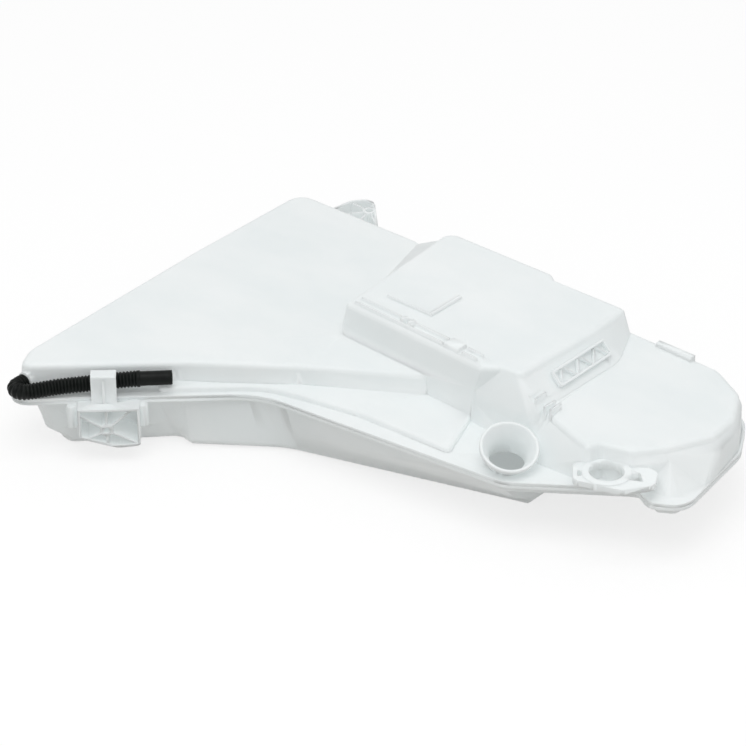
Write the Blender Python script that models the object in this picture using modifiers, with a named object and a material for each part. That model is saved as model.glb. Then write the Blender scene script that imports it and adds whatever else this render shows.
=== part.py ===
"""Washer fluid reservoir: two welded half shells of natural polyethylene and a corrugated vent hose.

The tank lies on its flat bottom, at z = 0. +X runs along its length, from the broad wing to the
pump end, +Y runs away from the filler neck, and +Z is up. Lengths are in millimetres and are
turned into metres as each mesh is made.
"""
import bmesh
import bpy
from math import cos, pi, radians, sin, tan
from mathutils import Matrix, Vector

MM = 0.001

# Walls, roundings and clearances
WALL = 2.6
FLANGE = 3.0
LAND = 2.2
TOUCH_GAP = 0.3
RIB = 2.2
CROWN = 5.0
LEDGE_CROWN = 2.8
SOLE = 7.0
DRAFT = 0.3
CUT_PAST = 2.0
PAST_ALL = 400.0

# Heights of the lower shell's forms above the bottom
WELD_HEIGHT = 50.0
BELLY_HEIGHT = 18.0
PAN_HEIGHT = 36.0

# Heights of the upper shell's forms above the weld, and the steps between them
LEDGE_RISE = 8.0
WING_RISE = 25.0
PUMP_END_RISE = 34.0
SHOULDER_DROP = 12.0
PLATFORM_STEP = 22.0

# The pump end's top falls away towards the end
PUMP_END_START = 150.0
PUMP_END_FALL = 0.03

# Filler neck: the centre of its mouth and the way it points
NECK_MOUTH = (175.0, -40.0, 72.0)
NECK_AXIS = (0.337, -0.262, 0.905)
NECK_RIM_RADIUS = 23.7
NECK_RIM_HEIGHT = 2.8
NECK_THROAT_RADIUS = 14.5
NECK_FUNNEL = 15.0

# The foot of the wing's straight front wall, where the bracket and the hose sit
FRONT_WALL_FOOT = (-145.1, -162.7)
FRONT_WALL_TURN = 43.7

# Bracket with crossed ribs
BRACKET_REACH = 28.8
BRACKET_DEPTH = 38.0
BRACKET_WIDTH = 50.0
BRACKET_SHIFT = 2.0
BRACKET_LOW = 13.0
BRACKET_BELLY = (8.0, 25.0)
BRACKET_LEFT_RISE = 10.0
HUB_HEIGHT = 30.0
HUB_RADIUS = 5.5
HUB_BORE_RADIUS = 2.6
SIDE_BOSS_RADIUS = 4.5
SIDE_BOSS_LENGTH = 18.0
SIDE_BOSS_SETBACK = 11.0

# Vent hose: its route as (along the wall, off the wall, above the deck), to the hose's surface
HOSE_RADIUS = 6.8
HOSE_ROUTE = [
    (-65.4, -7.7, 0.2), (-67.3, -5.7, 0.2), (-69.2, -3.7, 0.2), (-71.9, -0.4, 0.2),
    (-72.6, 3.2, 0.2), (-70.5, 7.1, 0.2), (-65.4, 8.9, 0.2), (-58.0, 7.9, 0.3), (-48.7, 5.6, 0.5),
    (-37.1, 3.3, 1.0), (-10.6, 1.5, 2.6), (9.2, 1.0, 4.2), (26.9, 1.3, 5.5), (53.8, 2.1, 6.5),
]
HOSE_PITCH = 2.8
HOSE_GROOVE = 0.84
HOSE_BORE_RADIUS = 4.4
HOSE_BORE_DEPTH = 9.0
CUFF_RADIUS = 6.0
CUFF_LENGTH = 26.0
COLLAR_LENGTH = 2.4
NIPPLE_RADIUS = 4.0
NIPPLE_LENGTH = 7.0
NIPPLE_BORE_RADIUS = 2.4
NIPPLE_PAD_RADIUS = 7.8
NIPPLE_PAD_LENGTH = 12.0

# Clip that holds the hose, on top of the bracket
CLIP_OFFSET = -1.4
CLIP_WIDTH = 20.5
CLIP_WALL = 2.4
CLIP_GAP = 1.2

# Ring ear on the pump end
EAR_CENTRE = (251.0, -16.0)
EAR_TOP = 70.0
EAR_THICKNESS = 7.0
EAR_BORE_RADIUS = 13.6
EAR_BAND = 6.0

# Ribbed tab behind the wing
TAB_TOP = 71.0
TAB_DEPTH = 15.0
TAB_HUB = (-160.5, 179.5)
TAB_HUB_RADIUS = 5.9
TAB_BORE_RADIUS = 3.3

# Ridges on the platform
RAIL_WIDTH = 2.2
RAIL_RISE = 2.5
RAIL_SPACING = 8.0
RAIL_SPANS = ((-22.0, 74.0), (94.0, 110.0))
PRONG_PLACES = (28.5, 36.5)
STOP_SPAN = (76.0, 91.0)
CATCH_CORNER = (37.0, 28.5)
CATCH_FRONT = 46.0
CATCH_SIDE = 37.5
STRIP_LENGTH = 67.0
STRIP_WIDTH = 15.0
STRIP_MIDDLE = 64.5
STRIP_RISE = 2.0
STRIP_FOLDS = 6

# The low ridge along the pump end's back edge
REAR_RIDGE = ((181.0, 143.2), (217.0, 143.0))
REAR_RIDGE_WIDTH = 6.0

# Ports for the pump and the level sensor, in the back wall of the tub
PORT_HEIGHT = 21.0
PUMP_PORT_X = 96.0
PUMP_PORT_RADIUS = 10.0
SENSOR_PORT_X = 40.0
SENSOR_PORT_RADIUS = 8.0
PORT_COLLAR = 3.0
PORT_REACH = 7.0

# Facets
ARC_STEPS = 4
ROUND_STEPS = 3
TURN_STEPS = 40

# Outlines: corners (x, y, radius), anticlockwise from above

# The weld flange, round the whole tank
FLANGE_OUTLINE = [
    (-194.1, -230.0, 14), (-45.0, -88.0, 70), (184.0, -60.0, 30), (268.0, 1.5, 8),
    (286.0, -9.0, 12), (311.5, 6.0, 20), (299.0, 96.0, 30), (278.0, 133.0, 30),
    (242.0, 153.5, 25), (150.0, 155.5, 20), (-40.0, 157.0, 30), (-78.0, 167.0, 25),
    (-232.0, 167.0, 20), (-228.5, 20.0, 400), (-216.5, -186.0, 25),
]
# The low step between the flange and the wing
LEDGE_OUTLINE = [
    (-115.0, -148.6, 6), (-43.0, -80.0, 90), (40.0, -62.0, 100), (129.0, -57.0, 4),
    (108.0, -3.0, 3), (108.0, 30.0, 3), (-100.0, 30.0, 3),
]
# The broad wing, whose right end runs on under the platform
WING_OUTLINE = [
    (-197.0, -210.5, 8), (-102.0, -120.0, 100), (-25.0, -61.0, 150), (63.0, -6.0, 4),
    (63.0, 60.0, 10), (20.0, 140.0, 5), (-66.0, 152.0, 8), (-88.0, 161.0, 10),
    (-225.5, 160.0, 16), (-222.0, 20.0, 400), (-210.0, -186.0, 25),
]
WING_SPREAD = 1.5
# The raised platform's sides and its top
PLATFORM_FOOT = [
    (-32.0, -2.0, 3), (113.0, -8.0, 0.4), (115.0, -8.0, 0.4), (172.0, -7.6, 8),
    (174.0, 101.0, 40), (154.0, 143.6, 4), (76.0, 143.6, 3), (68.0, 149.6, 3),
    (-76.0, 150.0, 8),
]
PLATFORM_TOP = [
    (-29.5, -1.0, 3), (118.0, -7.0, 2), (129.0, 3.0, 3), (150.0, 5.0, 8),
    (153.0, 100.0, 60), (150.0, 142.5, 5), (76.0, 142.5, 3), (68.0, 148.5, 3),
    (-44.0, 149.0, 12),
]
# The pump end's foot, shoulder and top, whose left part runs on under the platform
PUMP_END_FOOT = [
    (112.6, -8.4, 2), (150.0, -11.0, 10), (183.0, -22.5, 18), (235.0, -19.0, 4),
    (238.0, -6.0, 4), (268.0, 6.0, 6), (301.0, 2.0, 14), (306.0, 46.0, 60),
    (296.0, 97.0, 28), (275.5, 131.0, 28), (240.0, 149.5, 20), (150.0, 150.5, 3),
    (140.0, 130.0, 3), (113.0, 40.0, 3),
]
PUMP_END_SHOULDER = [
    (113.0, -8.0, 2), (150.0, -8.0, 10), (179.0, -6.0, 15), (233.0, -17.0, 4),
    (236.0, -4.0, 4), (262.0, 2.0, 8), (281.0, 25.0, 10), (303.0, 60.0, 14),
    (294.5, 98.0, 26), (274.5, 130.5, 26), (240.0, 149.0, 18), (150.0, 149.0, 3),
    (140.0, 130.0, 3), (113.0, 40.0, 3),
]
PUMP_END_TOP = [
    (113.6, -6.4, 2), (150.0, -6.0, 10), (178.0, 3.0, 14), (231.0, -15.0, 5),
    (234.0, -2.0, 5), (258.0, 5.0, 8), (275.0, 26.0, 10), (294.0, 66.0, 15),
    (291.0, 99.0, 24), (273.0, 130.0, 24), (239.0, 148.0, 16), (150.0, 147.0, 3),
    (140.0, 130.0, 3), (113.0, 40.0, 3),
]
# The deep tub's bottom, belly and top
TUB_BOTTOM = [
    (-184.0, -184.0, 9), (-168.0, -187.5, 12), (-106.0, -121.0, 10), (-91.0, -123.5, 8),
    (-28.0, -77.0, 80), (174.0, -11.0, 5), (174.0, 143.0, 10), (-184.0, 148.0, 15),
]
TUB_BELLY = [
    (-187.5, -196.5, 8), (-174.0, -199.5, 9), (-109.0, -128.0, 14), (-93.0, -123.0, 12),
    (-34.0, -80.0, 80), (174.0, -29.0, 5), (174.0, 146.0, 10), (-187.5, 152.0, 15),
]
TUB_TOP = [
    (-190.0, -200.0, 10), (-183.0, -212.5, 8), (-108.0, -140.4, 30), (-92.0, -126.6, 30),
    (-46.0, -84.0, 70), (174.0, -57.0, 5), (174.0, 149.0, 10), (-190.0, 157.0, 15),
]
# The shallow pan under the pump end, which opens into the tub
PAN_OUTLINE = [(130.0, -66.6, 1), *FLANGE_OUTLINE[2:9], (130.0, 155.9, 1)]
PAN_DRAFT = 7.5
# The ring ear's web and its two pockets
EAR_WEB = [
    (224.0, -24.0, 5), (238.0, -41.0, 6), (252.0, -36.0, 10), (274.0, -29.0, 10),
    (290.0, -6.0, 8), (281.0, 10.0, 6), (262.0, 12.0, 2), (232.0, 2.0, 2),
]
EAR_POCKETS = [
    [(229.5, -25.0, 1), (237.5, -35.0, 1), (238.5, -30.0, 1)],
    [(266.0, -15.0, 1), (280.0, -8.0, 1), (270.0, 1.0, 1)],
]
# The back tab and where its ribs end
TAB_OUTLINE = [
    (-189.0, 152.0, 1), (-124.8, 152.0, 1), (-163.5, 191.0, 6), (-169.0, 194.5, 5),
    (-177.0, 193.0, 6), (-185.0, 183.0, 6),
]
TAB_RIB_ENDS = [(-139.0, 165.0), (-168.0, 193.0), (-184.0, 182.0), (-176.0, 158.0), (-155.0, 158.0)]

LEDGE_HEIGHT = WELD_HEIGHT + LEDGE_RISE
WING_HEIGHT = WELD_HEIGHT + WING_RISE
PUMP_END_HEIGHT = WELD_HEIGHT + PUMP_END_RISE
SHOULDER_HEIGHT = PUMP_END_HEIGHT - SHOULDER_DROP
PLATFORM_HEIGHT = PUMP_END_HEIGHT + PLATFORM_STEP
UPPER_WELD = WELD_HEIGHT + TOUCH_GAP / 2
LOWER_WELD = WELD_HEIGHT - TOUCH_GAP / 2
DECK_HEIGHT = UPPER_WELD + FLANGE

for item in list(bpy.data.objects):
    bpy.data.objects.remove(item, do_unlink=True)


def collection(name):
    group = bpy.data.collections.new(name)
    bpy.context.scene.collection.children.link(group)
    return group


PARTS = collection("washer_fluid_reservoir")
TOOLS = collection("forms_and_cutters")


def plastic(name, colour, roughness):
    material = bpy.data.materials.new(name)
    material.use_nodes = True
    shader = material.node_tree.nodes["Principled BSDF"]
    shader.inputs["Base Color"].default_value = (*colour, 1.0)
    shader.inputs["Roughness"].default_value = roughness
    shader.inputs["Metallic"].default_value = 0.0
    return material


NATURAL = plastic("natural_polyethylene", (0.80, 0.83, 0.84), 0.42)
BLACK = plastic("black_polyamide", (0.014, 0.016, 0.015), 0.45)


# Outline and section geometry

def rounded(corners):
    """Points of a closed outline whose corners are arcs."""
    outline = []
    for i, (x, y, radius) in enumerate(corners):
        here = Vector((x, y))
        back = (Vector(corners[i - 1][:2]) - here).normalized()
        ahead = (Vector(corners[(i + 1) % len(corners)][:2]) - here).normalized()
        half = back.angle(ahead) / 2
        centre = here + (back + ahead).normalized() * radius / sin(half)
        spoke = here + back * radius / tan(half) - centre
        sweep = (pi - 2 * half) * (1 if ahead.cross(back) > 0 else -1)
        for step in range(ARC_STEPS + 1):
            turn = Matrix.Rotation(sweep * step / ARC_STEPS, 2)
            outline.append(centre + turn @ spoke)
    return outline


def inset(corners, distance):
    """The outline moved inwards, each arc about its own centre."""
    moved = []
    for i, (x, y, radius) in enumerate(corners):
        here = Vector((x, y))
        arriving = (here - Vector(corners[i - 1][:2])).normalized()
        leaving = (Vector(corners[(i + 1) % len(corners)][:2]) - here).normalized()
        inwards = Vector((-arriving.y - leaving.y, arriving.x + leaving.x))
        shift = inwards * distance / (1 + arriving.dot(leaving))
        change = -distance if arriving.cross(leaving) > 0 else distance
        moved.append((x + shift.x, y + shift.y, max(radius + change, DRAFT)))
    return moved


def pump_end_top(x):
    """Height of the pump end's sloping top."""
    return PUMP_END_HEIGHT - PUMP_END_FALL * (x - PUMP_END_START)


def ring(corners, height, rise=0.0):
    """The outline at a height, which is a number or a function of x, moved up by rise."""
    return [
        (point.x, point.y, (height(point.x) if callable(height) else height) + rise)
        for point in rounded(corners)
    ]


def form_rings(sections, crown=0.0, sole=0.0):
    """Rings through (corners, height) sections, from the lowest up.

    The edge of the top face is rounded by crown and that of the bottom face by sole.
    """
    quarter = [pi / 2 * step / ROUND_STEPS for step in range(ROUND_STEPS + 1)]
    (low, low_height), *middle, (high, high_height) = sections
    rings = [ring(low, low_height)]
    if sole:
        rings = [
            ring(inset(low, sole * (1 - sin(angle))), low_height, sole * (1 - cos(angle)))
            for angle in quarter
        ]
    rings += [ring(corners, height) for corners, height in middle]
    if crown:
        return rings + [
            ring(inset(high, crown * (1 - cos(angle))), high_height, crown * (sin(angle) - 1))
            for angle in quarter
        ]
    return rings + [ring(high, high_height)]


def inner_sections(sections, floor=0.0, roof=0.0):
    """The sections one wall further in, the lowest moved up by floor and the highest by roof."""
    inner = []
    for number, (corners, height) in enumerate(sections):
        rise = floor if number == 0 else roof if number == len(sections) - 1 else 0.0
        if callable(height):
            inner.append((inset(corners, WALL), lambda x, top=height, up=rise: top(x) + up))
        else:
            inner.append((inset(corners, WALL), height + rise))
    return inner


def circle(centre, radius):
    angles = [2 * pi * step / TURN_STEPS for step in range(TURN_STEPS)]
    return [(centre[0] + radius * cos(a), centre[1] + radius * sin(a)) for a in angles]


# Solids

def show_as_tool(made):
    made.hide_render = True
    made.display_type = "WIRE"


def new_object(name, mesh, place=None, group=TOOLS, material=NATURAL):
    bmesh.ops.recalc_face_normals(mesh, faces=mesh.faces)
    data = bpy.data.meshes.new(name)
    mesh.to_mesh(data)
    mesh.free()
    data.materials.append(material)
    made = bpy.data.objects.new(name, data)
    group.objects.link(made)
    made.matrix_world = place or Matrix.Identity(4)
    if group is TOOLS:
        show_as_tool(made)
    return made


def loft(name, rings, place=None, group=TOOLS):
    """A closed solid through rings of as many points each."""
    mesh = bmesh.new()
    levels = [[mesh.verts.new(Vector(point) * MM) for point in points] for points in rings]
    count = len(levels[0])
    for low, high in zip(levels, levels[1:]):
        for i in range(count):
            following = (i + 1) % count
            mesh.faces.new((low[i], low[following], high[following], high[i]))
    # A warped side face would come out of a Boolean with gaps, so each becomes two flat ones
    bmesh.ops.triangulate(mesh, faces=mesh.faces)
    mesh.faces.new(reversed(levels[0]))
    mesh.faces.new(levels[-1])
    return new_object(name, mesh, place, group)


def block(name, low, high):
    """A box between two corners."""
    mesh = bmesh.new()
    bmesh.ops.create_cube(mesh, size=1.0)
    low, high = Vector(low), Vector(high)
    bmesh.ops.scale(mesh, vec=(high - low) * MM, verts=mesh.verts)
    bmesh.ops.translate(mesh, vec=(high + low) / 2 * MM, verts=mesh.verts)
    return new_object(name, mesh)


def rod(name, radius, start, end, segments=TURN_STEPS):
    """A cylinder from start to end."""
    mesh = bmesh.new()
    start, end = Vector(start), Vector(end)
    along = end - start
    bmesh.ops.create_cone(mesh, cap_ends=True, segments=segments, radius1=radius * MM,
                          radius2=radius * MM, depth=along.length * MM)
    return new_object(name, mesh, pointing((start + end) / 2, along))


def bar(name, start, end, width, low, high, place=None):
    """A straight upright rib from start to end, a little narrower at its top."""
    start, end = Vector(start), Vector(end)
    along = (end - start).normalized()
    side = Vector((-along.y, along.x))
    rings = []
    for level, slack in ((low, 0.0), (high, DRAFT)):
        half = side * (width / 2 - slack)
        first, last = start + along * slack, end - along * slack
        corners = (first - half, last - half, last + half, first + half)
        rings.append([(corner.x, corner.y, level) for corner in corners])
    return loft(name, rings, place)


def from_hub(hub, radius, end):
    """Where a rib to end starts, inside the hub and clear of the other ribs."""
    hub = Vector(hub)
    return hub + (Vector(end) - hub).normalized() * radius * 0.75


def plate(name, outlines, low, high, place=None):
    """A flat plate from z = low to high; outlines after the first are its holes."""
    curve = bpy.data.curves.new(name, "CURVE")
    curve.dimensions = "2D"
    curve.fill_mode = "BOTH"
    curve.extrude = (high - low) / 2 * MM
    for outline in outlines:
        spline = curve.splines.new("POLY")
        spline.points.add(len(outline) - 1)
        for point, target in zip(outline, spline.points):
            target.co = (point[0] * MM, point[1] * MM, 0.0, 1.0)
        spline.use_cyclic_u = True
    middle = Matrix.Translation((0.0, 0.0, (low + high) / 2 * MM))
    return solid_of(curve, name, (place or Matrix.Identity(4)) @ middle)


def solid_of(curve, name, place=None, group=TOOLS, material=NATURAL):
    """The curve's own surface, as a closed mesh object."""
    guide = bpy.data.objects.new(name, curve)
    TOOLS.objects.link(guide)
    evaluated = guide.evaluated_get(bpy.context.evaluated_depsgraph_get())
    mesh = bmesh.new()
    mesh.from_mesh(bpy.data.meshes.new_from_object(evaluated))
    bmesh.ops.remove_doubles(mesh, verts=mesh.verts, dist=0.00001)
    bpy.data.objects.remove(guide, do_unlink=True)
    return new_object(name, mesh, place, group, material)


def turned(name, profile, place):
    """A solid of revolution about z; its profile of (radius, height) runs down the outer side."""
    data = bpy.data.meshes.new(name)
    points = [(radius * MM, 0.0, height * MM) for radius, height in profile]
    data.from_pydata(points, [(i, i + 1) for i in range(len(points) - 1)], [])
    data.materials.append(NATURAL)
    made = bpy.data.objects.new(name, data)
    TOOLS.objects.link(made)
    made.matrix_world = place
    show_as_tool(made)
    screw = made.modifiers.new("turn", "SCREW")
    screw.steps = TURN_STEPS
    screw.render_steps = TURN_STEPS
    screw.use_merge_vertices = True
    screw.merge_threshold = 0.00002
    return made


def combine(body, operation, tools):
    """Adds one Boolean modifier to body for each tool."""
    for tool in tools:
        step = body.modifiers.new(tool.name, "BOOLEAN")
        step.operation = operation
        step.object = tool


def settle(body):
    """Applies the modifiers, then shades curved walls smooth and leaves edges crisp."""
    evaluated = body.evaluated_get(bpy.context.evaluated_depsgraph_get())
    data = bpy.data.meshes.new_from_object(evaluated)
    body.modifiers.clear()
    body.data = data
    data.shade_smooth()
    data.set_sharp_from_angle(angle=radians(30))


# Places

def pointing(location, direction):
    """A place at location whose z axis is direction."""
    turn = Vector(direction).to_track_quat("Z", "Y").to_matrix().to_4x4()
    return Matrix.Translation(Vector(location) * MM) @ turn


def axes(location, x_axis, y_axis):
    """A place at location from its x and y axes."""
    x_axis, y_axis = Vector(x_axis).normalized(), Vector(y_axis).normalized()
    columns = Matrix((x_axis, y_axis, x_axis.cross(y_axis))).transposed()
    return Matrix.Translation(Vector(location) * MM) @ columns.to_4x4()


ALONG_WALL = Vector((cos(radians(FRONT_WALL_TURN)), sin(radians(FRONT_WALL_TURN)), 0.0))
OFF_WALL = ALONG_WALL.cross(Vector((0.0, 0.0, 1.0)))
# In this place x runs along the front wall, y up and z out of the wall
WALL_PLACE = axes((*FRONT_WALL_FOOT, 0.0), ALONG_WALL, (0.0, 0.0, 1.0))


def wall_point(along, off, height):
    """A point given along the front wall, off it and above the bottom."""
    foot = Vector((*FRONT_WALL_FOOT, height))
    return foot + ALONG_WALL * along + OFF_WALL * off


# Upper shell

def upper_sections():
    """The upper shell's moulded forms: name, sections and crown."""
    wing = [(inset(WING_OUTLINE, -WING_SPREAD), UPPER_WELD), (WING_OUTLINE, WING_HEIGHT)]
    platform = [
        (PLATFORM_FOOT, UPPER_WELD), (PLATFORM_FOOT, PUMP_END_HEIGHT),
        (PLATFORM_TOP, PLATFORM_HEIGHT),
    ]
    pump_end = [
        (PUMP_END_FOOT, UPPER_WELD), (PUMP_END_SHOULDER, SHOULDER_HEIGHT),
        (PUMP_END_TOP, pump_end_top),
    ]
    ledge = [(LEDGE_OUTLINE, UPPER_WELD), (LEDGE_OUTLINE, LEDGE_HEIGHT)]
    return [
        ("ledge", ledge, LEDGE_CROWN), ("wing", wing, CROWN),
        ("platform", platform, CROWN), ("pump_end", pump_end, CROWN),
    ]


def neck():
    """The filler neck, a flared tube, and its funnel-shaped bore."""
    place = pointing(NECK_MOUTH, NECK_AXIS)
    tube = NECK_THROAT_RADIUS + WALL
    root = -(NECK_MOUTH[2] - WELD_HEIGHT + tube) / NECK_AXIS[2]
    mouth = NECK_RIM_RADIUS - WALL
    outer = [
        (0.0, 0.0), (NECK_RIM_RADIUS - 0.8, 0.0), (NECK_RIM_RADIUS, -0.8),
        (NECK_RIM_RADIUS, -NECK_RIM_HEIGHT), (mouth + 0.8, -NECK_RIM_HEIGHT - 1.2),
        (tube + 2.6, -NECK_FUNNEL * 0.6), (tube + 0.4, -NECK_FUNNEL), (tube, root), (0.0, root),
    ]
    inner = [
        (0.0, CUT_PAST), (mouth + 1.2, CUT_PAST), (mouth, -0.6),
        (mouth - 1.6, -NECK_RIM_HEIGHT), (NECK_THROAT_RADIUS + 2.2, -NECK_FUNNEL * 0.6),
        (NECK_THROAT_RADIUS, -NECK_FUNNEL), (NECK_THROAT_RADIUS, root - CUT_PAST),
        (0.0, root - CUT_PAST),
    ]
    # Turned by half a facet, so that no edge of the bore meets one of the tube's top
    half_facet = Matrix.Rotation(pi / TURN_STEPS, 4, "Z")
    return turned("neck_tube", outer, place), turned("neck_bore", inner, place @ half_facet)


def ring_ear():
    """The ring ear and its web, then its bore and pockets."""
    low = EAR_TOP - EAR_THICKNESS
    below = (*EAR_CENTRE, low - CUT_PAST)
    above = (*EAR_CENTRE, EAR_TOP + CUT_PAST)
    solids = [
        plate("ear_web", [rounded(EAR_WEB)], low + 1.0, EAR_TOP - 1.0),
        rod("ear_ring", EAR_BORE_RADIUS + EAR_BAND, (*EAR_CENTRE, low), (*EAR_CENTRE, EAR_TOP)),
    ]
    cuts = [rod("ear_bore", EAR_BORE_RADIUS, below, above)]
    for number, pocket in enumerate(EAR_POCKETS):
        cuts.append(plate(f"ear_pocket_{number}", [rounded(pocket)], below[2], above[2]))
    return solids, cuts


def back_tab():
    """The open ribbed tab behind the wing, then its bore."""
    low = TAB_TOP - TAB_DEPTH
    solids = [
        plate("tab_rim", [rounded(TAB_OUTLINE), rounded(inset(TAB_OUTLINE, RIB))], low, TAB_TOP),
        rod("tab_hub", TAB_HUB_RADIUS, (*TAB_HUB, low - 0.4), (*TAB_HUB, TAB_TOP + 0.4)),
    ]
    for number, end in enumerate(TAB_RIB_ENDS):
        start = from_hub(TAB_HUB, TAB_HUB_RADIUS, end)
        solids.append(bar(f"tab_rib_{number}", start, end, RIB, low + 0.5, TAB_TOP - 0.5))
    bore = rod("tab_bore", TAB_BORE_RADIUS, (*TAB_HUB, low - CUT_PAST),
               (*TAB_HUB, TAB_TOP + CUT_PAST), 20)
    return solids, bore


def along_edge(x, setback):
    """A point at x, set back from the platform's front top edge."""
    (x0, y0, _), (x1, y1, _) = PLATFORM_TOP[:2]
    return (x, y0 + (y1 - y0) * (x - x0) / (x1 - x0) + setback)


def platform_ridges():
    """The clip rails along the platform's front edge, the stop and the angled catch."""
    low = PLATFORM_HEIGHT - RAIL_RISE
    high = PLATFORM_HEIGHT + RAIL_RISE
    setbacks = (CROWN, CROWN + RAIL_SPACING)
    ridges = []
    for row, setback in enumerate(setbacks):
        for part, (first, last) in enumerate(RAIL_SPANS):
            ends = (along_edge(first, setback), along_edge(last, setback))
            ridges.append(bar(f"rail_{row}_{part}", *ends, RAIL_WIDTH, low, high))
    middle = sum(setbacks) / 2
    for number, x in enumerate(PRONG_PLACES):
        ends = (along_edge(x - 2, middle), along_edge(x + 2, middle))
        ridges.append(bar(f"prong_{number}", *ends, RAIL_SPACING - 1.0, low, high + RAIL_RISE))
    ends = [along_edge(x, middle) for x in STOP_SPAN]
    ridges.append(bar("rail_stop", *ends, RAIL_SPACING + 4.0, low, high + 1.0))
    x, y = CATCH_CORNER
    ridges.append(bar("catch_front", (x - CATCH_FRONT, y), (x + 1.5, y), RAIL_WIDTH, low, high))
    ridges.append(bar("catch_side", (x, y - 0.5), (x, y + CATCH_SIDE), RAIL_WIDTH + 1.4, low, high))
    return ridges


def ribbed_strip():
    """The zigzag ribs in a low frame, on the platform's sloping right side."""
    foot, top = PLATFORM_FOOT[4][0], PLATFORM_TOP[4][0]
    slope = (top - foot, 0.0, PLATFORM_HEIGHT - PUMP_END_HEIGHT)
    middle = ((foot + top) / 2, STRIP_MIDDLE, (PLATFORM_HEIGHT + PUMP_END_HEIGHT) / 2)
    place = axes(middle, (0.0, 1.0, 0.0), slope)
    x, y = STRIP_LENGTH / 2, STRIP_WIDTH / 2
    frame = [(-x, -y, 3), (x, -y, 3), (x, y, 3), (-x, y, 3)]
    low = -WALL / 2
    ribs = [plate("strip_frame", [rounded(frame), rounded(inset(frame, RIB))], low, STRIP_RISE, place)]
    step = (STRIP_LENGTH - 2 * RIB) / STRIP_FOLDS
    side = y - RIB / 2
    for number in range(STRIP_FOLDS):
        # Every other rib is a little lower, so that no two meet in one plane
        odd = number % 2
        start = (RIB - x + number * step, side if odd else -side)
        end = (start[0] + step, -start[1])
        drop = 0.2 + 0.15 * odd
        ribs.append(bar(f"strip_rib_{number}", start, end, 1.8, low - drop, STRIP_RISE - drop, place))
    return ribs


def corner_fins():
    """The short upright fins in the corner between the platform and the pump end."""
    fins = []
    for number, x in enumerate((161.0, 167.0, 176.0, 182.0)):
        top = PUMP_END_HEIGHT + (9.0 if number < 2 else 5.0)
        low = SHOULDER_HEIGHT
        fins.append(bar(f"fin_{number}", (x, 1.0), (x, 15.0), RIB, low, top))
    return fins


def nipple():
    """The vent nipple on its pad, and the bore that leads into the tank."""
    route = hose_route()
    start, onwards = route[0], (route[1] - route[0]).normalized()
    seat = start - onwards * TOUCH_GAP
    back = seat - onwards * NIPPLE_PAD_LENGTH
    tip = start + onwards * NIPPLE_LENGTH
    solids = [
        rod("nipple_pad", NIPPLE_PAD_RADIUS, back, seat, 24),
        rod("nipple", NIPPLE_RADIUS, seat - onwards, tip, 20),
    ]
    bore = rod("vent_bore", NIPPLE_BORE_RADIUS, back - onwards, tip + onwards * CUT_PAST, 16)
    return solids, bore


def upper_shell():
    start = UPPER_WELD - CUT_PAST
    rings = [ring(FLANGE_OUTLINE, start), ring(FLANGE_OUTLINE, DECK_HEIGHT - DRAFT),
             ring(inset(FLANGE_OUTLINE, DRAFT), DECK_HEIGHT)]
    shell = loft("upper_shell", rings, group=PARTS)
    forms, cavities = [], []
    for name, sections, crown in upper_sections():
        forms.append(loft(f"{name}_form", form_rings(sections, crown)))
        inner = inner_sections([(sections[0][0], start - CUT_PAST), *sections], roof=-WALL)
        cavities.append(loft(f"{name}_cavity", form_rings(inner, max(crown - WALL, DRAFT))))
    tube, bore = neck()
    ear, ear_cuts = ring_ear()
    tab, tab_bore = back_tab()
    vent, vent_bore = nipple()
    rear_ridge = bar("rear_ridge", *REAR_RIDGE, REAR_RIDGE_WIDTH, SHOULDER_HEIGHT,
                     PUMP_END_HEIGHT + RAIL_RISE)
    combine(shell, "UNION", [*forms, tube, *vent, *ear, *tab, rear_ridge])
    combine(shell, "UNION", [*platform_ridges(), *ribbed_strip(), *corner_fins()])
    combine(shell, "DIFFERENCE", [bore, *cavities, *ear_cuts, tab_bore, vent_bore])
    below = block("below_weld", (-PAST_ALL, -PAST_ALL, 0.0), (PAST_ALL, PAST_ALL, UPPER_WELD))
    combine(shell, "DIFFERENCE", [below])
    return shell


# Lower shell

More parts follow.
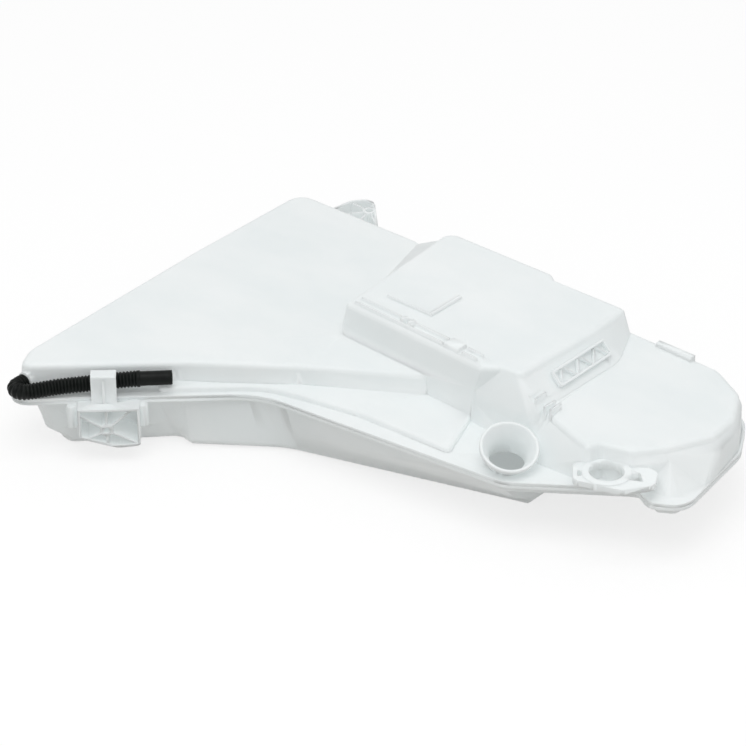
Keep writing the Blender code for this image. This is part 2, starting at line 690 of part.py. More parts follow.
def bracket():
    """The ribbed bracket under the hose clip: solids, and the bore in its hub."""
    left, right = BRACKET_SHIFT - BRACKET_WIDTH / 2, BRACKET_SHIFT + BRACKET_WIDTH / 2
    top = LOWER_WELD + CUT_PAST
    front, back = BRACKET_REACH, BRACKET_REACH - BRACKET_DEPTH
    belly_x, belly_radius = BRACKET_BELLY
    outline = [
        (left, BRACKET_LOW + BRACKET_LEFT_RISE, 3), (belly_x, BRACKET_LOW, belly_radius),
        (right, BRACKET_LOW + 2.0, 3), (right, top, DRAFT), (left, top, DRAFT),
    ]
    hole = [*inset(outline[:3] + [(right, LOWER_WELD, 1), (left, LOWER_WELD, 1)], RIB)]
    solids = [plate("bracket_frame", [rounded(outline), rounded(hole)], back, front, WALL_PLACE)]
    hub = (0.0, HUB_HEIGHT)
    ends = [
        (0.0, LOWER_WELD - 1.0), (left + 1.0, LOWER_WELD - 6.0), (right - 6.0, LOWER_WELD - 1.0),
        (left + 6.0, BRACKET_LOW + BRACKET_LEFT_RISE - 2.0), (right - 1.0, BRACKET_LOW + 3.0),
        (0.0, BRACKET_LOW + 3.0),
    ]
    for number, end in enumerate(ends):
        start = from_hub(hub, HUB_RADIUS, end)
        solids.append(bar(f"bracket_rib_{number}", start, end, RIB, back + 1.0, front - 0.6, WALL_PLACE))
    solids.append(plate("bracket_hub", [circle(hub, HUB_RADIUS)], back + 0.5, front - 0.3, WALL_PLACE))
    for side in (-1, 1):
        along = side * (BRACKET_WIDTH / 2 + SIDE_BOSS_RADIUS * 0.8) + BRACKET_SHIFT / 2
        off = BRACKET_REACH - SIDE_BOSS_SETBACK
        high = wall_point(along, off, LOWER_WELD - FLANGE + 1.0)
        low = wall_point(along, off, LOWER_WELD - FLANGE - SIDE_BOSS_LENGTH)
        solids.append(rod(f"side_boss_{side + 1}", SIDE_BOSS_RADIUS, low, high, 20))
        reach = wall_point(along, back, high.z), wall_point(along, off, high.z)
        ends = [point.to_2d() for point in reach]
        solids.append(bar(f"side_web_{side + 1}", *ends, RIB, low.z + 3.0, high.z))
    bore = plate("hub_bore", [circle(hub, HUB_BORE_RADIUS)], front - 14.0, front + 1.0, WALL_PLACE)
    return solids, bore


def hose_clip():
    """The clip that stands on the bracket and hooks over the hose."""
    left, right = CLIP_OFFSET - CLIP_WIDTH / 2, CLIP_OFFSET + CLIP_WIDTH / 2
    line = hose_line()
    nearest = min(line, key=lambda point: abs((point - wall_point(CLIP_OFFSET, 0, 0)).dot(ALONG_WALL)))
    underside = nearest.z + HOSE_RADIUS + CLIP_GAP
    off = (nearest - wall_point(0, 0, 0)).dot(OFF_WALL)
    inner = off + HOSE_RADIUS + CLIP_GAP
    low = LOWER_WELD - CLIP_WALL
    hook = [
        (inner + CLIP_WALL, low), (inner + CLIP_WALL, underside + CLIP_WALL - 1.0),
        (inner + CLIP_WALL - 1.0, underside + CLIP_WALL), (off - 1.0, underside + CLIP_WALL),
        (off - 3.0, underside + 1.0), (off - 3.0, underside - 0.4), (off, underside),
        (inner, underside), (inner, low),
    ]
    across = axes(wall_point(0, 0, 0), OFF_WALL, (0.0, 0.0, 1.0))
    sheet = plate("clip_hook", [hook], -right, -left, across)
    rib = [(inner + 1.0, low), (inner + CLIP_WALL + 2.0, low), (inner + CLIP_WALL + 1.4, underside),
           (inner + 1.0, underside)]
    brace = plate("clip_rib", [rib], -CLIP_OFFSET - RIB / 2, -CLIP_OFFSET + RIB / 2, across)
    return [sheet, brace]


def port(name, x, radius):
    """A collared port through the back wall of the tub."""
    wall_y = TUB_BELLY[-2][1]
    inside = (x, wall_y - 4 * WALL, PORT_HEIGHT)
    outside = (x, wall_y + WALL + PORT_REACH, PORT_HEIGHT)
    past = (x, outside[1] + CUT_PAST, PORT_HEIGHT)
    collar = rod(f"{name}_collar", radius + PORT_COLLAR, inside, outside)
    return collar, rod(f"{name}_bore", radius, inside, past)


def lower_shell():
    top = LOWER_WELD + CUT_PAST
    rings = [ring(inset(FLANGE_OUTLINE, DRAFT), LOWER_WELD - FLANGE),
             ring(FLANGE_OUTLINE, LOWER_WELD - FLANGE + DRAFT), ring(FLANGE_OUTLINE, top)]
    shell = loft("lower_shell", rings, group=PARTS)
    inset_top = LOWER_WELD - FLANGE / 2
    tub = [(TUB_BOTTOM, 0.0), (TUB_BELLY, BELLY_HEIGHT), (TUB_TOP, inset_top)]
    rim = inset(PAN_OUTLINE, LAND)
    pan = [(inset(rim, PAN_DRAFT), PAN_HEIGHT), (rim, inset_top)]
    forms, cavities = [], []
    for name, sections, sole in (("tub", tub, SOLE), ("pan", pan, CROWN)):
        forms.append(loft(f"{name}_form", form_rings(sections, sole=sole)))
        inner = inner_sections([*sections, (sections[-1][0], top + CUT_PAST)], floor=WALL)
        cavities.append(loft(f"{name}_cavity", form_rings(inner, sole=sole - WALL)))
    ribs, hub_bore = bracket()
    pump_collar, pump_bore = port("pump_port", PUMP_PORT_X, PUMP_PORT_RADIUS)
    sensor_collar, sensor_bore = port("sensor_port", SENSOR_PORT_X, SENSOR_PORT_RADIUS)
    combine(shell, "UNION", [*forms, *ribs, pump_collar, sensor_collar])
    combine(shell, "DIFFERENCE", [*cavities, hub_bore, pump_bore, sensor_bore])
    above = block("above_weld", (-PAST_ALL, -PAST_ALL, LOWER_WELD),
                  (PAST_ALL, PAST_ALL, top + 3 * CUT_PAST))
    combine(shell, "DIFFERENCE", [above])
    combine(shell, "UNION", hose_clip())
    return shell


# Vent hose

def hose_route():
    """The route's own points, on the hose's axis."""
    rest = DECK_HEIGHT + TOUCH_GAP + HOSE_RADIUS
    return [wall_point(along, off + HOSE_RADIUS, rest + lift) for along, off, lift in HOSE_ROUTE]


def hose_line():
    """A smooth line of close points through the route."""
    route = hose_route()
    route = [2 * route[0] - route[1], *route, 2 * route[-1] - route[-2]]
    line = []
    for before, start, end, after in zip(route, route[1:], route[2:], route[3:]):
        for step in range(20):
            t = step / 20
            line.append((2 * start + (end - before) * t
                         + (2 * before - 5 * start + 4 * end - after) * t ** 2
                         + (3 * start - before - 3 * end + after) * t ** 3) / 2)
    return [*line, route[-2]]


def along_line(line, stations):
    """Points of the line at the given distances from its start."""
    points, travelled = [], 0.0
    wanted = list(stations)
    for start, end in zip(line, line[1:]):
        length = (end - start).length
        while wanted and wanted[0] <= travelled + length:
            points.append(start.lerp(end, (wanted.pop(0) - travelled) / length))
        travelled += length
    return points


def vent_hose():
    """The corrugated hose and its plain cuff, with a bore in each end."""
    line = hose_line()
    length = sum((b - a).length for a, b in zip(line, line[1:]))
    ridges = int((length - CUFF_LENGTH - COLLAR_LENGTH) / HOSE_PITCH)
    stations, radii = [], []
    for number in range(2 * ridges + 1):
        stations.append(number * HOSE_PITCH / 2)
        radii.append(1.0 if number % 2 == 0 else HOSE_GROOVE)
    cuff = CUFF_RADIUS / HOSE_RADIUS
    collar_end = length - CUFF_LENGTH
    stations += [collar_end, collar_end + 0.4, length - 0.6, length - 0.02]
    radii += [1.0, cuff, cuff, cuff - 0.06]
    curve = bpy.data.curves.new("vent_hose", "CURVE")
    curve.dimensions = "3D"
    curve.bevel_depth = HOSE_RADIUS * MM
    curve.bevel_resolution = 4
    curve.use_fill_caps = True
    spline = curve.splines.new("POLY")
    points = along_line(line, stations)
    spline.points.add(len(points) - 1)
    for target, point, radius in zip(spline.points, points, radii):
        target.co = (*(point * MM), 1.0)
        target.radius = radius
    hose = solid_of(curve, "vent_hose", group=PARTS, material=BLACK)
    bores = []
    for name, end, inner in (("nipple_end", points[0], points[4]), ("cuff_end", points[-1], points[-3])):
        inwards = (inner - end).normalized()
        bores.append(rod(name, HOSE_BORE_RADIUS, end - inwards * CUT_PAST,
                         end + inwards * HOSE_BORE_DEPTH, 20))
    combine(hose, "DIFFERENCE", bores)
    return hose


for part in (upper_shell(), lower_shell(), vent_hose()):
    settle(part)
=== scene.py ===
# %% [markdown]
# # Washer fluid reservoir
# The real tank is two injection-moulded half shells of milky polyethylene, welded together along a
# flat flange, with a black corrugated vent hose clipped to its front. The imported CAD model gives
# the exact forms, so this script only has to give them their finish, a finer hose, light and a
# camera.

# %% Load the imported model
from math import cos, pi, radians, sin

import bmesh
import bpy
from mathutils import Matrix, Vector
from mathutils.bvhtree import BVHTree


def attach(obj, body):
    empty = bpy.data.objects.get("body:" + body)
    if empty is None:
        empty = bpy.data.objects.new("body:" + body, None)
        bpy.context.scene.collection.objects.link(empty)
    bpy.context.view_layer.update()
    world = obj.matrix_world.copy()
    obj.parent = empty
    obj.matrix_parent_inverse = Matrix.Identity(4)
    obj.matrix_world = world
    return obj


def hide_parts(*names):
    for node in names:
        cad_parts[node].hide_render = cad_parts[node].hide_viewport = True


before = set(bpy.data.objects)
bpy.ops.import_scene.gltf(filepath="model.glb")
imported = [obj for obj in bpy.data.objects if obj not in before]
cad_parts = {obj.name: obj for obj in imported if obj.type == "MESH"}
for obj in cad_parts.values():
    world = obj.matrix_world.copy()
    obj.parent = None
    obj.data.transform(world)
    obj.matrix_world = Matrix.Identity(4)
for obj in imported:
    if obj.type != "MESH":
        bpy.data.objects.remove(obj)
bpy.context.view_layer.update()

MM = 0.001
SHELLS = ("upper_shell", "lower_shell")
BLACK = (0.0, 0.0, 0.0, 1.0)
WHITE = (1.0, 1.0, 1.0, 1.0)
print("CAD nodes:", sorted(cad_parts))


# %% [markdown]
# Shader maths reads best as ordinary expressions. Blender wants one Math node for each step, so a
# small class wraps a socket and adds the node when two values meet. Colours never go through it: a
# Math node would turn them grey, so they are blended with a Mix node.

# %% Sockets that can be added and multiplied
class Value:
    """A number that varies over a surface."""

    def __init__(self, finish, socket):
        self.finish = finish
        self.socket = socket

    def math(self, operation, *others, clamp=False):
        made = self.finish.node("ShaderNodeMath", {"operation": operation, "use_clamp": clamp},
                                dict(enumerate((self, *others))))
        return Value(self.finish, made.outputs[0])

    def __add__(self, other):
        return self.math("ADD", other)

    def __mul__(self, other):
        return self.math("MULTIPLY", other)

    def __sub__(self, other):
        return self.math("SUBTRACT", other)

    def __rsub__(self, other):
        return (self * -1.0).math("ADD", other)

    __radd__ = __add__
    __rmul__ = __mul__

    def ramp(self, low, high, to_low=0.0, to_high=1.0):
        """Maps low..high to to_low..to_high and holds it there."""
        made = self.finish.node("ShaderNodeMapRange", {"clamp": True},
                                dict(enumerate((self, low, high, to_low, to_high))))
        return Value(self.finish, made.outputs[0])


print("values can be written with + - and *")


# %% [markdown]
# A finish is a Principled shader with the things that feed it. Every node comes from one method,
# which takes the node's settings and then a value or a link for each of its sockets.

# %% A finish
class Finish:
    """A material under construction, with a Principled shader."""

    EDGE_SAMPLES = 6

    def __init__(self, name, **constants):
        self.material = bpy.data.materials.new(name)
        self.material.use_nodes = True
        self.tree = self.material.node_tree
        self.shader = self.tree.nodes["Principled BSDF"]
        for socket, value in constants.items():
            self.shader.inputs[socket.replace("_", " ")].default_value = value

    def node(self, kind, settings=None, inputs=None):
        """One node: its settings first, then the values or links of its sockets."""
        made = self.tree.nodes.new(kind)
        for key, value in (settings or {}).items():
            setattr(made, key, value)
        for key, value in (inputs or {}).items():
            self.feed(made.inputs[key], value)
        return made

    def feed(self, socket, value):
        """A Value or a socket is linked to the socket, anything else is its constant."""
        if isinstance(value, Value):
            value = value.socket
        if isinstance(value, bpy.types.NodeSocket):
            self.tree.links.new(value, socket)
        else:
            socket.default_value = value

    def place(self):
        """Where a point is on the object, in metres."""
        return self.node("ShaderNodeTexCoord").outputs["Object"]

    def noise(self, size, detail=3.0, roughness=0.5, stretch=(1.0, 1.0, 1.0)):
        """Soft noise whose blobs are about size metres across."""
        where = self.node("ShaderNodeMapping", inputs={"Vector": self.place(), "Scale": stretch})
        made = self.node("ShaderNodeTexNoise", inputs={
            "Vector": where.outputs[0], "Scale": 1.0 / size,
            "Detail": detail, "Roughness": roughness,
        })
        return Value(self, made.outputs[0])

    def blend(self, amount, first, second):
        """A colour between first and second. A Mix node's colours are its inputs 6 and 7."""
        made = self.node("ShaderNodeMix", {"data_type": "RGBA"}, {0: amount, 6: first, 7: second})
        return made.outputs[2]

    def rounded_edges(self, radius, height, distance):
        """A normal that rounds every edge by radius and follows height, which is distance deep."""
        edge = self.node("ShaderNodeBevel", {"samples": self.EDGE_SAMPLES}, {"Radius": radius})
        bump = self.node("ShaderNodeBump", inputs={
            "Strength": 1.0, "Distance": distance, "Height": height, "Normal": edge.outputs[0],
        })
        self.feed(self.shader.inputs["Normal"], bump.outputs[0])


print("finishes can be made")


# %% [markdown]
# Natural polyethylene is never quite white. It is milky, and subsurface scattering softens its
# light over a few millimetres. So much light also passes through the thin walls that the inside of
# the tank and the pockets between ribs are grey rather than black. Following every such ray would
# take very long, so a faint glow stands in for it: a steady one on the faces inside the tank, and
# outside it one that grows where the Ambient Occlusion node finds the surface shut in. The
# moulding tool leaves a fine grain, and the melt leaves faint clouds where it flowed, so roughness
# and colour vary a little.

# %% Milky polyethylene
MILK, PALE_MILK = (0.79, 0.835, 0.84, 1.0), (0.835, 0.87, 0.872, 1.0)
INSIDE_GLOW = (0.1, 0.1, 0.099, 1.0)
POCKET_GLOW = (0.11, 0.11, 0.108, 1.0)
MILK_DEPTH = 6 * MM
CLOUD_SIZE, CLOUD_STRETCH = 90 * MM, (1.0, 1.6, 1.0)
GLOSS_PATCH_SIZE = 20 * MM
POCKET_REACH, POCKET_SAMPLES = 100 * MM, 6
GRAIN_SIZE, GRAIN_DEPTH = 1.1 * MM, 0.03 * MM
SHELL_EDGE_RADIUS = 1 * MM


def milky_plastic(name, inside=False):
    """The shells' plastic, as it looks outside the tank, or inside it with a steady painted glow.
    """
    finish = Finish(
        name, Subsurface_Weight=0.35, Subsurface_Scale=MILK_DEPTH,
        Subsurface_Radius=(1.0, 1.0, 1.0), IOR=1.5, Specular_IOR_Level=0.4, Emission_Strength=1.0,
    )
    clouds = finish.noise(CLOUD_SIZE, detail=4.0, stretch=CLOUD_STRETCH).ramp(0.35, 0.65)
    shader = finish.shader.inputs
    finish.feed(shader["Base Color"], finish.blend(clouds, MILK, PALE_MILK))
    finish.feed(shader["Roughness"], finish.noise(GLOSS_PATCH_SIZE).ramp(0.3, 0.7, 0.36, 0.5))
    if inside:
        # Painted glow: a steady light on every face inside the tank, for what shines through the
        # walls.
        shader["Emission Color"].default_value = INSIDE_GLOW
        return finish.material
    openness = finish.node(
        "ShaderNodeAmbientOcclusion", {"samples": POCKET_SAMPLES}, {"Distance": POCKET_REACH})
    shut_in = 1.0 - Value(finish, openness.outputs["AO"])
    finish.feed(shader["Emission Color"], finish.blend(shut_in * shut_in, BLACK, POCKET_GLOW))
    grain = finish.noise(GRAIN_SIZE, detail=2.0)
    finish.rounded_edges(SHELL_EDGE_RADIUS, grain, GRAIN_DEPTH)
    return finish.material


shell_plastic = milky_plastic("natural_polyethylene_satin")
glowing_inner_plastic = milky_plastic("natural_polyethylene_lit_through", inside=True)
print("made", shell_plastic.name, "and", glowing_inner_plastic.name)


# %% [markdown]
# The hose is black polyamide, blown into ridges. Handling polishes such a hose in patches, so its
# black and its gloss vary softly from place to place.

# %% Black polyamide
DEEP_BLACK, WORN_BLACK = (0.003, 0.004, 0.0035, 1.0), (0.007, 0.009, 0.008, 1.0)
WEAR_SIZE, HANDLED_PATCH_SIZE = 6 * MM, 10 * MM
SPECK_SIZE, SPECK_DEPTH = 0.8 * MM, 0.02 * MM
HOSE_EDGE_RADIUS = 0.3 * MM


def black_plastic(name):
    """The hose's plastic."""
    finish = Finish(name, IOR=1.5, Specular_IOR_Level=0.15)
    wear = finish.noise(WEAR_SIZE).ramp(0.3, 0.7)
    shader = finish.shader.inputs
    finish.feed(shader["Base Color"], finish.blend(wear, DEEP_BLACK, WORN_BLACK))
    finish.feed(shader["Roughness"], finish.noise(HANDLED_PATCH_SIZE).ramp(0.3, 0.7, 0.34, 0.5))
    finish.rounded_edges(HOSE_EDGE_RADIUS, finish.noise(SPECK_SIZE), SPECK_DEPTH)
    return finish.material


hose_plastic = black_plastic("black_polyamide_satin")
print("made", hose_plastic.name)


# %% [markdown]
# A wall of the tank has two faces, one outside and one that looks into the tank. The inner one
# gets a steady painted glow for the light that comes through the wall. Naming them by hand would
# break with every change of the CAD model, so rays decide: they leave each face in evenly spread
# directions, and a face is inside where nearly all of them meet a wall. A pocket between ribs
# outside stays open on one side, so it isn't mistaken for it.

# %% Which faces are inside
RAY_COUNT = 160
RAY_START = 0.3 * MM  # clear of the face itself
GRAZING = 0.05  # a ray flatter than this to its face isn't counted
INSIDE_SHARE = 0.93


def sphere_directions(count):
    """Evenly spread unit vectors, wound round the sphere in a spiral."""
    golden_turn = pi * (3 - 5 ** 0.5)
    spread = []
    for number in range(count):
        height = 1 - (2 * number + 1) / count
        turn = number * golden_turn
        spread.append(Vector((cos(turn), sin(turn), 0.0)) * (1 - height ** 2) ** 0.5
                      + Vector((0.0, 0.0, height)))
    return spread


def shell_walls():
    """All faces of both shells in one search tree."""
    points, faces = [], []
    for node in SHELLS:
        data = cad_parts[node].data
        faces += [[len(points) + corner for corner in face.vertices] for face in data.polygons]
        points += [vertex.co.copy() for vertex in data.vertices]
    return BVHTree.FromPolygons(points, faces)


WALLS = shell_walls()
DIRECTIONS = sphere_directions(RAY_COUNT)


def is_inside(face):
    """Whether nearly every way out from the face meets a wall of the tank."""
    start = face.center + face.normal * RAY_START
    ways = [way for way in DIRECTIONS if way.dot(face.normal) > GRAZING]
    shut = sum(WALLS.ray_cast(start, way)[0] is not None for way in ways)
    return shut > INSIDE_SHARE * len(ways)


print("faces can be told apart with", len(DIRECTIONS), "directions")


# %% [markdown]
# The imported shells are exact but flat-shaded. A copy of each, with its coincident corners joined
# and its gentle edges shaded smooth, shows the same form with flowing curves. Where a large flat
# face meets a small rounded one, their shared normal would tilt halfway and shade the flat face
# wrongly. The Weighted Normal modifier gives the larger face the say, so flat faces stay flat.

# %% Shells with smooth curves
SAME_PLACE = 0.002 * MM
SHELL_SHARP_ANGLE = radians(32)


def smooth_copy(node, material, glowing_inner_material):
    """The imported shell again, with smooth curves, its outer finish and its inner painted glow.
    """
    mesh = bmesh.new()
    mesh.from_mesh(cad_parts[node].data)
    bmesh.ops.remove_doubles(mesh, verts=mesh.verts, dist=SAME_PLACE)
    data = bpy.data.meshes.new(node + "_surface")
    mesh.to_mesh(data)
    mesh.free()
    data.materials.clear()
    data.materials.append(material)
    data.materials.append(glowing_inner_material)
    for face in data.polygons:
        face.material_index = int(is_inside(face))
    data.shade_smooth()
    data.set_sharp_from_angle(angle=SHELL_SHARP_ANGLE)
    piece = bpy.data.objects.new(node + "_surface", data)
    bpy.context.scene.collection.objects.link(piece)
    even = piece.modifiers.new("even_normals", "WEIGHTED_NORMAL")
    even.keep_sharp = True
    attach(piece, "root")
    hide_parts(node)
    inner = sum(face.material_index for face in data.polygons)
    print(node, "has", len(data.polygons), "faces,", inner, "of them inside")


for node in SHELLS:
    smooth_copy(node, shell_plastic, glowing_inner_plastic)


# %% [markdown]
# The hose is pushed on to a nipple on the wing's corner, loops round it and lies on the ledge,
# held by the clip. The points below are its route as (along the front wall, off the wall, above
# the deck), in millimetres. A Catmull-Rom curve runs smoothly through every one of them.

# %% Where the hose runs
WALL_FOOT = Vector((-145.1, -162.7, 0.0))
WALL_TURN = radians(43.7)
DECK_HEIGHT = 53.45
HOSE_RADIUS = 6.8
HOSE_REST = DECK_HEIGHT + HOSE_RADIUS
SPAN_STEPS = 20
ROUTE = [
    (-65.4, -7.7, 0.2), (-67.3, -5.7, 0.2), (-69.2, -3.7, 0.2), (-71.9, -0.4, 0.2),
    (-72.6, 3.2, 0.2), (-70.5, 7.1, 0.2), (-65.4, 8.9, 0.2), (-58.0, 7.9, 0.3), (-48.7, 5.6, 0.5),
    (-37.1, 3.3, 1.0), (-10.6, 1.5, 2.6), (9.2, 1.0, 4.2), (26.9, 1.3, 5.5), (53.8, 2.1, 6.5),
]
ALONG = Vector((cos(WALL_TURN), sin(WALL_TURN), 0.0))
OFF = Vector((sin(WALL_TURN), -cos(WALL_TURN), 0.0))


def on_route(along, off, lift):
    """A point of the route on the object, off being measured to the hose's near side."""
    height = Vector((0.0, 0.0, HOSE_REST + lift))
    return WALL_FOOT + ALONG * along + OFF * (off + HOSE_RADIUS) + height


def hose_line():
    """Close points on the hose's axis, in millimetres."""
    route = [on_route(*point) for point in ROUTE]
    route = [2 * route[0] - route[1], *route, 2 * route[-1] - route[-2]]
    line = []
    for before, start, end, after in zip(route, route[1:], route[2:], route[3:]):
        for step in range(SPAN_STEPS):
            t = step / SPAN_STEPS
            line.append((2 * start + (end - before) * t
                         + (2 * before - 5 * start + 4 * end - after) * t ** 2
                         + (3 * start - before - 3 * end + after) * t ** 3) / 2)
    return [*line, route[-2]]


line = hose_line()
reached = [0.0]
for start, end in zip(line, line[1:]):
    reached.append(reached[-1] + (end - start).length)
HOSE_LENGTH = reached[-1]
print("hose length", round(HOSE_LENGTH, 1), "mm")


# %% [markdown]
# A corrugated hose could be a plain tube with bumps painted on, but its outline is toothed, so the
# ridges are real. They are made of rings of points set square to the line. Each ring is turned as
# little as possible from the one before it, so the tube doesn't twist.

# %% Rings along the line
RING_POINTS = 32


def frames_along():
    """Sideways and onward directions at each point of the line, carried along without twist."""
    heading = (line[1] - line[0]).normalized()
    side = heading.orthogonal().normalized()
    sides, headings = [], []
    for number in range(len(line)):
        before, after = line[max(number - 1, 0)], line[min(number + 1, len(line) - 1)]
        onward = (after - before).normalized()
        side = heading.rotation_difference(onward) @ side
        heading = onward
        sides.append(side.copy())
        headings.append(heading.copy())
    return sides, headings


sides, headings = frames_along()


def ring_at(distance, radius):
    """Points of one ring, in metres, at a distance along the hose."""
    number = 0
    while number < len(line) - 2 and reached[number + 1] < distance:
        number += 1
    share = (distance - reached[number]) / (reached[number + 1] - reached[number])
    centre = line[number].lerp(line[number + 1], share)
    heading = headings[number].lerp(headings[number + 1], share).normalized()
    side = sides[number].lerp(sides[number + 1], share)
    side = (side - heading * side.dot(heading)).normalized()
    across = heading.cross(side)
    turns = [2 * pi * step / RING_POINTS for step in range(RING_POINTS)]
    return [(centre + (side * cos(turn) + across * sin(turn)) * radius) * MM for turn in turns]


print("the hose's line has", len(line), "points")


# %% [markdown]
# Each ring's radius comes from a profile along the hose: full ridges with narrow grooves between
# them, as a blow mould leaves them, then a collar and a plain cuff. The profile starts inside one
# end and stops inside the other, so both ends are open mouths with a wall, as on a real hose.

# %% The hose's profile
PITCH, PITCH_STEPS = 2.8, 8
RIDGE_FULLNESS = 0.6  # below 1 the ridges are broad and the grooves narrow
GROOVE_RADIUS = 5.7
CUFF_LENGTH, CUFF_RADIUS = 26.0, 6.0
COLLAR_LENGTH = 2.4
COLLAR_FLANK = 0.2
HOSE_BORE, MOUTH_DEPTH = 4.4, 9.0
# Rounded corners: (how far past the place, how far below the radius), in millimetres
COLLAR_START = [(0.3, 0.2), (0.6, 0.0)]
COLLAR_END = [(-0.3, 0.0), (0.0, 0.2)]
CUFF_RIM = [(-0.6, 0.0), (-0.2, 0.15), (0.0, 0.5)]


def rounded_corner(place, radius, steps):
    """A corner's (distance, radius) pairs."""
    return [(place + past, radius - below) for past, below in steps]


def hose_profile():
    """(distance, radius) pairs from inside the nipple end to inside the cuff's end."""
    cuff_start = HOSE_LENGTH - CUFF_LENGTH
    ridge_count = int((cuff_start - COLLAR_LENGTH) / PITCH)
    ridges_end = ridge_count * PITCH
    profile = [(MOUTH_DEPTH, HOSE_BORE), (0.0, HOSE_BORE), (0.0, GROOVE_RADIUS)]
    for step in range(1, PITCH_STEPS * ridge_count):
        wave = (1 - cos(2 * pi * step / PITCH_STEPS)) / 2
        rise = (HOSE_RADIUS - GROOVE_RADIUS) * wave ** RIDGE_FULLNESS
        profile.append((step * PITCH / PITCH_STEPS, GROOVE_RADIUS + rise))
    return [
        *profile,
        (ridges_end, GROOVE_RADIUS), *rounded_corner(ridges_end, HOSE_RADIUS, COLLAR_START),
        *rounded_corner(cuff_start, HOSE_RADIUS, COLLAR_END),
        (cuff_start + COLLAR_FLANK, CUFF_RADIUS),
        *rounded_corner(HOSE_LENGTH, CUFF_RADIUS, CUFF_RIM),
        (HOSE_LENGTH, HOSE_BORE), (HOSE_LENGTH - MOUTH_DEPTH, HOSE_BORE),
    ]


profile = hose_profile()
print("the hose's profile has", len(profile), "stations")


# %% [markdown]
# Faces between neighbouring rings make the hose, and a face over the first and the last ring
# closes each bore where the profile stops, deep in the mouth.

# %% The corrugated hose
HOSE_SHARP_ANGLE = radians(60)


def corrugated_hose():
    """The hose with every ridge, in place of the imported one."""
    mesh = bmesh.new()
    rings = [[mesh.verts.new(point) for point in ring_at(*station)] for station in profile]
    for first, second in zip(rings, rings[1:]):
        for number in range(RING_POINTS):
            after = (number + 1) % RING_POINTS
            mesh.faces.new((first[number], first[after], second[after], second[number]))
    mesh.faces.new(reversed(rings[0]))
    mesh.faces.new(rings[-1])
    bmesh.ops.recalc_face_normals(mesh, faces=mesh.faces)
    data = bpy.data.meshes.new("corrugated_hose")
    mesh.to_mesh(data)
    mesh.free()
    data.materials.append(hose_plastic)
    data.shade_smooth()
    data.set_sharp_from_angle(angle=HOSE_SHARP_ANGLE)
    hose = bpy.data.objects.new("corrugated_hose", data)
    bpy.context.scene.collection.objects.link(hose)
    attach(hose, "root")
    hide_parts("vent_hose")
    print("hose has", len(data.polygons), "faces in", len(rings), "rings")


corrugated_hose()


# %% [markdown]
# The photograph is a catalogue picture on white. A large plain floor catches the tank's soft
# shadow. The camera and the reflections see it as lit paper, mostly its own white, so the shadow
# stays faint, while the light that it throws back on the tank is that of a pale studio floor.

# %% Floor
FLOOR_HALF_SIZE = 4.0
FLOOR_DROP = 0.5 * MM  # just under the tank
FLOOR_BOUNCE = (0.55, 0.54, 0.525, 1.0)
PAPER_SHARE = 0.7


def studio_floor():
    """A plain floor that is white to the eye and pale to the light."""
    mesh = bmesh.new()
    bmesh.ops.create_grid(mesh, x_segments=1, y_segments=1, size=FLOOR_HALF_SIZE)
    bmesh.ops.translate(mesh, vec=(0.0, 0.0, -FLOOR_DROP), verts=mesh.verts)
    data = bpy.data.meshes.new("floor")
    mesh.to_mesh(data)
    mesh.free()
    floor = bpy.data.objects.new("floor", data)
    bpy.context.scene.collection.objects.link(floor)
    finish = Finish("pale_floor", Roughness=0.9, Specular_IOR_Level=0.0)
    rays = finish.node("ShaderNodeLightPath").outputs
    seen = Value(finish, rays["Is Camera Ray"]) + rays["Is Glossy Ray"]
    seen = seen.math("ADD", rays["Is Transmission Ray"], clamp=True)
    finish.feed(finish.shader.inputs["Base Color"], finish.blend(seen, FLOOR_BOUNCE, WHITE))
    paper = finish.node("ShaderNodeEmission", inputs={"Color": WHITE, "Strength": 1.0})
    seen_floor = finish.node("ShaderNodeMixShader", inputs={
        0: seen * PAPER_SHARE, 1: finish.shader.outputs[0], 2: paper.outputs[0]})
    finish.feed(finish.tree.nodes["Material Output"].inputs["Surface"], seen_floor.outputs[0])
    data.materials.append(finish.material)


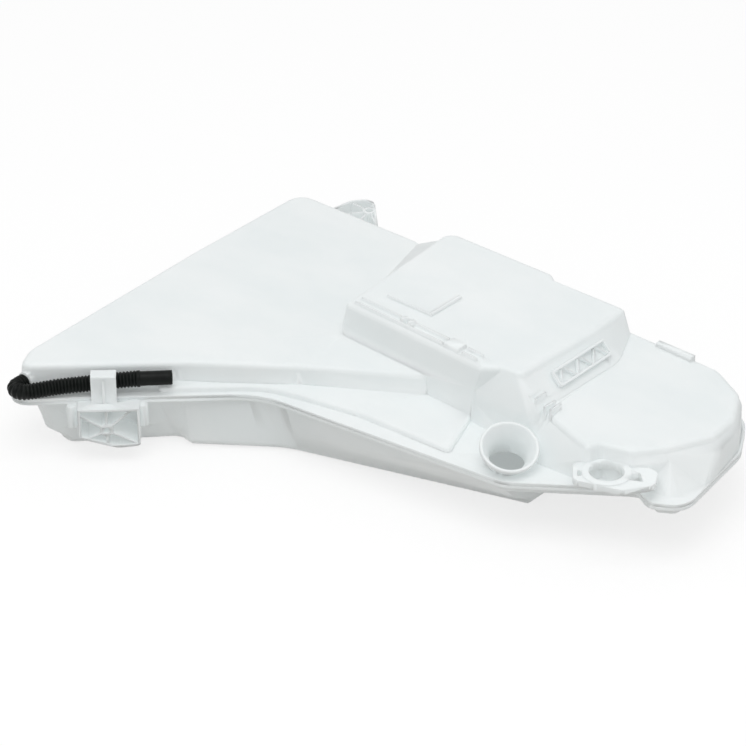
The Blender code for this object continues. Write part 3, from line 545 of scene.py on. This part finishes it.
studio_floor()
print("floor laid,", 2 * FLOOR_HALF_SIZE, "m wide")


# %% [markdown]
# White plastic shows its form only by how its sides turn from the light. An even white sky does
# most of the lighting, and one large soft lamp, high up before the tank, adds a gentle difference
# between the faces that look its way and those that don't.

# %% Light
SKY_STRENGTH = 0.76
KEY_PLACE = (0.35, -0.5, 2.05)
KEY_SIZE, KEY_POWER = 1.6, 15.0
AIM = Vector((0.0, 0.0, 0.05))


def light_box(name, place, target, size, power):
    """A square soft lamp that faces the target."""
    data = bpy.data.lights.new(name, "AREA")
    data.shape = "SQUARE"
    data.size = size
    data.energy = power
    lamp = bpy.data.objects.new(name, data)
    bpy.context.scene.collection.objects.link(lamp)
    lamp.location = place
    lamp.rotation_euler = (target - Vector(place)).to_track_quat("-Z", "Y").to_euler()


sky = bpy.data.worlds.new("studio_sky")
bpy.context.scene.world = sky
sky.use_nodes = True
background = sky.node_tree.nodes["Background"]
background.inputs["Color"].default_value = WHITE
background.inputs["Strength"].default_value = SKY_STRENGTH
light_box("soft_key", KEY_PLACE, AIM, KEY_SIZE, KEY_POWER)
print("one lamp of", KEY_POWER, "W under a white sky")


# %% [markdown]
# The photograph's perspective lines meet far away, so it was taken with a long lens from a couple
# of metres. The camera stands 41 degrees round from the tank's side and 31.5 degrees up.

# %% Camera
AZIMUTH, ELEVATION = radians(41.0), radians(31.5)
DISTANCE = 2.459
SENSOR_WIDTH, FOCAL_LENGTH = 36.0, 144.77
towards = Vector((sin(AZIMUTH) * cos(ELEVATION), -cos(AZIMUTH) * cos(ELEVATION), sin(ELEVATION)))
lens = bpy.data.cameras.new("camera")
lens.sensor_width = SENSOR_WIDTH
lens.lens = FOCAL_LENGTH
camera = bpy.data.objects.new("camera", lens)
bpy.context.scene.collection.objects.link(camera)
camera.location = AIM + towards * DISTANCE
camera.rotation_euler = (-towards).to_track_quat("-Z", "Y").to_euler()
bpy.context.scene.camera = camera
bpy.context.scene.view_settings.view_transform = "Standard"
print("camera at", [round(value, 3) for value in camera.location])
